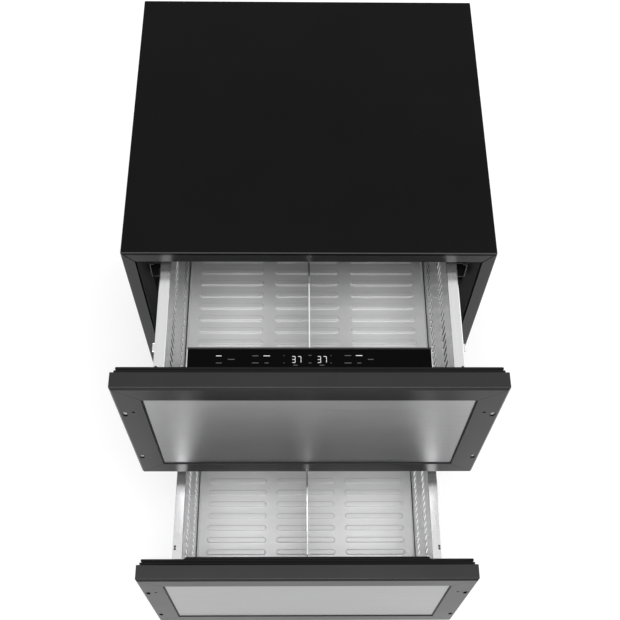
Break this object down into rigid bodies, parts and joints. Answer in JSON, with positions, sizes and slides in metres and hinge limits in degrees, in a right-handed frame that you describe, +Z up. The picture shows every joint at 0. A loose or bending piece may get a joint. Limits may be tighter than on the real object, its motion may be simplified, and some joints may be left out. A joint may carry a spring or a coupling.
{
  "type": "undercounter drawer refrigerator",
  "caption": "Undercounter refrigerator with two full-width pull-out drawers, metal bins, framed fronts and a console behind the upper front.",
  "frame": {"origin": "on the floor under the middle of the whole object, drawers drawn out as at rest", "axes": "+X to the viewer's right when facing the drawers, +Y from the drawer fronts to the cabinet's back, +Z up"},
  "size_m": [0.606, 0.9798, 0.867],
  "materials": {
    "cabinet_paint": "satin",
    "galvanised_steel": "satin",
    "insulation_foam": "matte",
    "liner_plastic": "satin",
    "zinc_plate": "satin",
    "slide_black": "gloss",
    "coil_aluminium": "satin",
    "black_enamel": "gloss",
    "frame_charcoal": "satin",
    "panel_stainless": "satin",
    "gloss_black": "gloss",
    "gasket_rubber": "matte",
    "bin_stainless": "satin",
    "polished_stainless": "polished",
    "console_plastic": "satin",
    "console_glass": "gloss"
  },
  "bodies": {
    "cabinet": {"cabinet_wrapper": "cabinet_paint", "rear_panel": "galvanised_steel", "insulation": "insulation_foam", "upper_liner": "liner_plastic", "lower_liner": "liner_plastic", "breaker_frame": "liner_plastic", "base_pan": "galvanised_steel", "compartment_shroud": "galvanised_steel", "kick_grille": "cabinet_paint", "machine_cover": "galvanised_steel", "front_left_foot": "zinc_plate", "front_right_foot": "zinc_plate", "rear_right_foot": "zinc_plate", "rear_left_foot": "zinc_plate", "evaporator_cover": "liner_plastic", "evaporator_coil": "coil_aluminium", "compressor": "black_enamel", "drain_pan": "liner_plastic", "condenser": "black_enamel", "condenser_fan_shroud": "liner_plastic", "upper_left_slide_rail": "slide_black", "upper_right_slide_rail": "slide_black", "lower_left_slide_rail": "slide_black", "lower_right_slide_rail": "slide_black"},
    "upper_drawer": {"upper_front_top_rail": "frame_charcoal", "upper_front_bottom_rail": "frame_charcoal", "upper_front_left_stile": "frame_charcoal", "upper_front_right_stile": "frame_charcoal", "upper_front_panel": "panel_stainless", "upper_front_liner": "gloss_black", "upper_gasket": "gasket_rubber", "upper_bin_left_wall": "bin_stainless", "upper_bin_right_wall": "bin_stainless", "upper_bin_rear_wall": "bin_stainless", "upper_floor_tray": "bin_stainless", "upper_left_slide_inner": "zinc_plate", "upper_right_slide_inner": "zinc_plate", "console_body": "console_plastic", "console_glass": "console_glass"},
    "lower_drawer": {"lower_front_top_rail": "frame_charcoal", "lower_front_bottom_rail": "frame_charcoal", "lower_front_left_stile": "frame_charcoal", "lower_front_right_stile": "frame_charcoal", "lower_front_panel": "panel_stainless", "lower_front_liner": "gloss_black", "lower_gasket": "gasket_rubber", "lower_bin_left_wall": "bin_stainless", "lower_bin_right_wall": "bin_stainless", "lower_bin_rear_wall": "bin_stainless", "lower_floor_tray": "bin_stainless", "lower_left_slide_inner": "zinc_plate", "lower_right_slide_inner": "zinc_plate"},
    "upper_slide_middles": {"upper_left_slide_middle": "zinc_plate", "upper_right_slide_middle": "zinc_plate"},
    "lower_slide_middles": {"lower_left_slide_middle": "zinc_plate", "lower_right_slide_middle": "zinc_plate"},
    "upper_divider": {"upper_bin_divider": "polished_stainless"},
    "lower_divider": {"lower_bin_divider": "polished_stainless"},
    "evaporator_fan": {"evaporator_fan": "liner_plastic"},
    "condenser_fan": {"condenser_fan": "liner_plastic"}
  },
  "joints": [
    {"name": "upper_drawer_slide", "type": "slide", "parent": "cabinet", "child": "upper_drawer", "axis": [0, 1, 0], "range_m": [-0.196, 0.195]},
    {"name": "upper_slide_middles_slide", "type": "slide", "parent": "cabinet", "child": "upper_slide_middles", "axis": [0, 1, 0], "range_m": [-0.098, 0.0975]},
    {"name": "lower_drawer_slide", "type": "slide", "parent": "cabinet", "child": "lower_drawer", "axis": [0, 1, 0], "range_m": [0, 0.391]},
    {"name": "lower_slide_middles_slide", "type": "slide", "parent": "cabinet", "child": "lower_slide_middles", "axis": [0, 1, 0], "range_m": [0, 0.1955]},
    {"name": "upper_divider_slide", "type": "slide", "parent": "upper_drawer", "child": "upper_divider", "axis": [1, 0, 0], "range_m": [-0.2, 0.2]},
    {"name": "lower_divider_slide", "type": "slide", "parent": "lower_drawer", "child": "lower_divider", "axis": [1, 0, 0], "range_m": [-0.2, 0.2]},
    {"name": "evaporator_fan_spin", "type": "hinge", "parent": "cabinet", "child": "evaporator_fan", "pos_m": [0, 0.3899, 0.765], "axis": [0, 1, 0], "continuous": true},
    {"name": "condenser_fan_spin", "type": "hinge", "parent": "cabinet", "child": "condenser_fan", "pos_m": [-0.036, 0.4229, 0.1275], "axis": [1, 0, 0], "continuous": true}
  ],
  "couplings": [
    {"joint": "upper_slide_middles_slide", "follows": "upper_drawer_slide", "ratio": 0.5},
    {"joint": "lower_slide_middles_slide", "follows": "lower_drawer_slide", "ratio": 0.5}
  ]
}
